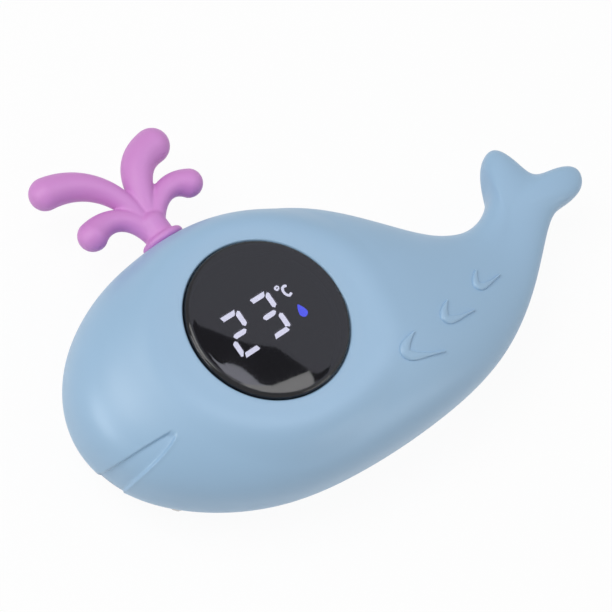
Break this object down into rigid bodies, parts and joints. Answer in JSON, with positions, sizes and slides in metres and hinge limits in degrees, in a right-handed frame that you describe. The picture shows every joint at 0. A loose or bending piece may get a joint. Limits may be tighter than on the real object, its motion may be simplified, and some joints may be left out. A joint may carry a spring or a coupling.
{
  "type": "baby bath thermometer",
  "caption": "Whale-shaped floating bath thermometer with a round lens over a digital display, a soft fountain spout and a flat back.",
  "frame": {"origin": "on the flat back, under the centre of the round display", "axes": "+X from head to tail, +Y towards the spout, +Z out of the display"},
  "size_m": [0.1413, 0.0927, 0.0336],
  "materials": {
    "body_blue": "satin light blue",
    "spout_orchid": "soft matt orchid",
    "smoked_lens": "glossy, dark tint",
    "black_plastic": "matt black",
    "lit_segment": "clear white resin",
    "lit_drop": "clear blue resin",
    "silicone": "matt grey",
    "board_green": "solder mask",
    "steel": "stainless",
    "nickel": "nickel plated",
    "cell_wrap": "shrunk sleeve",
    "thermistor_glass": "glazed bead"
  },
  "bodies": {
    "root": {"battery_cell_1": "cell_wrap", "battery_cell_2": "cell_wrap", "battery_door": "body_blue", "battery_spring_1": "nickel", "battery_spring_2": "nickel", "board_screw_1": "steel", "board_screw_2": "steel", "board_screw_3": "steel", "board_screw_4": "steel", "bridge_plate": "nickel", "celsius_mark": "lit_segment", "controller_chip": "black_plastic", "degree_ring": "lit_segment", "display_housing": "black_plastic", "display_lens": "smoked_lens", "door_gasket": "silicone", "door_screw": "steel", "drop_icon": "lit_drop", "front_shell": "body_blue", "lens_gasket": "black_plastic", "main_board": "board_green", "negative_plate": "nickel", "positive_plate": "nickel", "probe_cap": "steel", "probe_ring": "silicone", "rear_shell": "body_blue", "shell_screw_1": "steel", "shell_screw_2": "steel", "shell_screw_3": "steel", "shell_screw_4": "steel", "shell_seal": "silicone", "spout": "spout_orchid", "tens_segment_a": "lit_segment", "tens_segment_b": "lit_segment", "tens_segment_c": "lit_segment", "tens_segment_d": "lit_segment", "tens_segment_e": "lit_segment", "tens_segment_f": "lit_segment", "tens_segment_g": "lit_segment", "thermistor": "thermistor_glass", "units_segment_a": "lit_segment", "units_segment_b": "lit_segment", "units_segment_c": "lit_segment", "units_segment_d": "lit_segment", "units_segment_e": "lit_segment", "units_segment_f": "lit_segment", "units_segment_g": "lit_segment", "water_contact_1": "steel", "water_contact_2": "steel"}
  },
  "joints": []
}
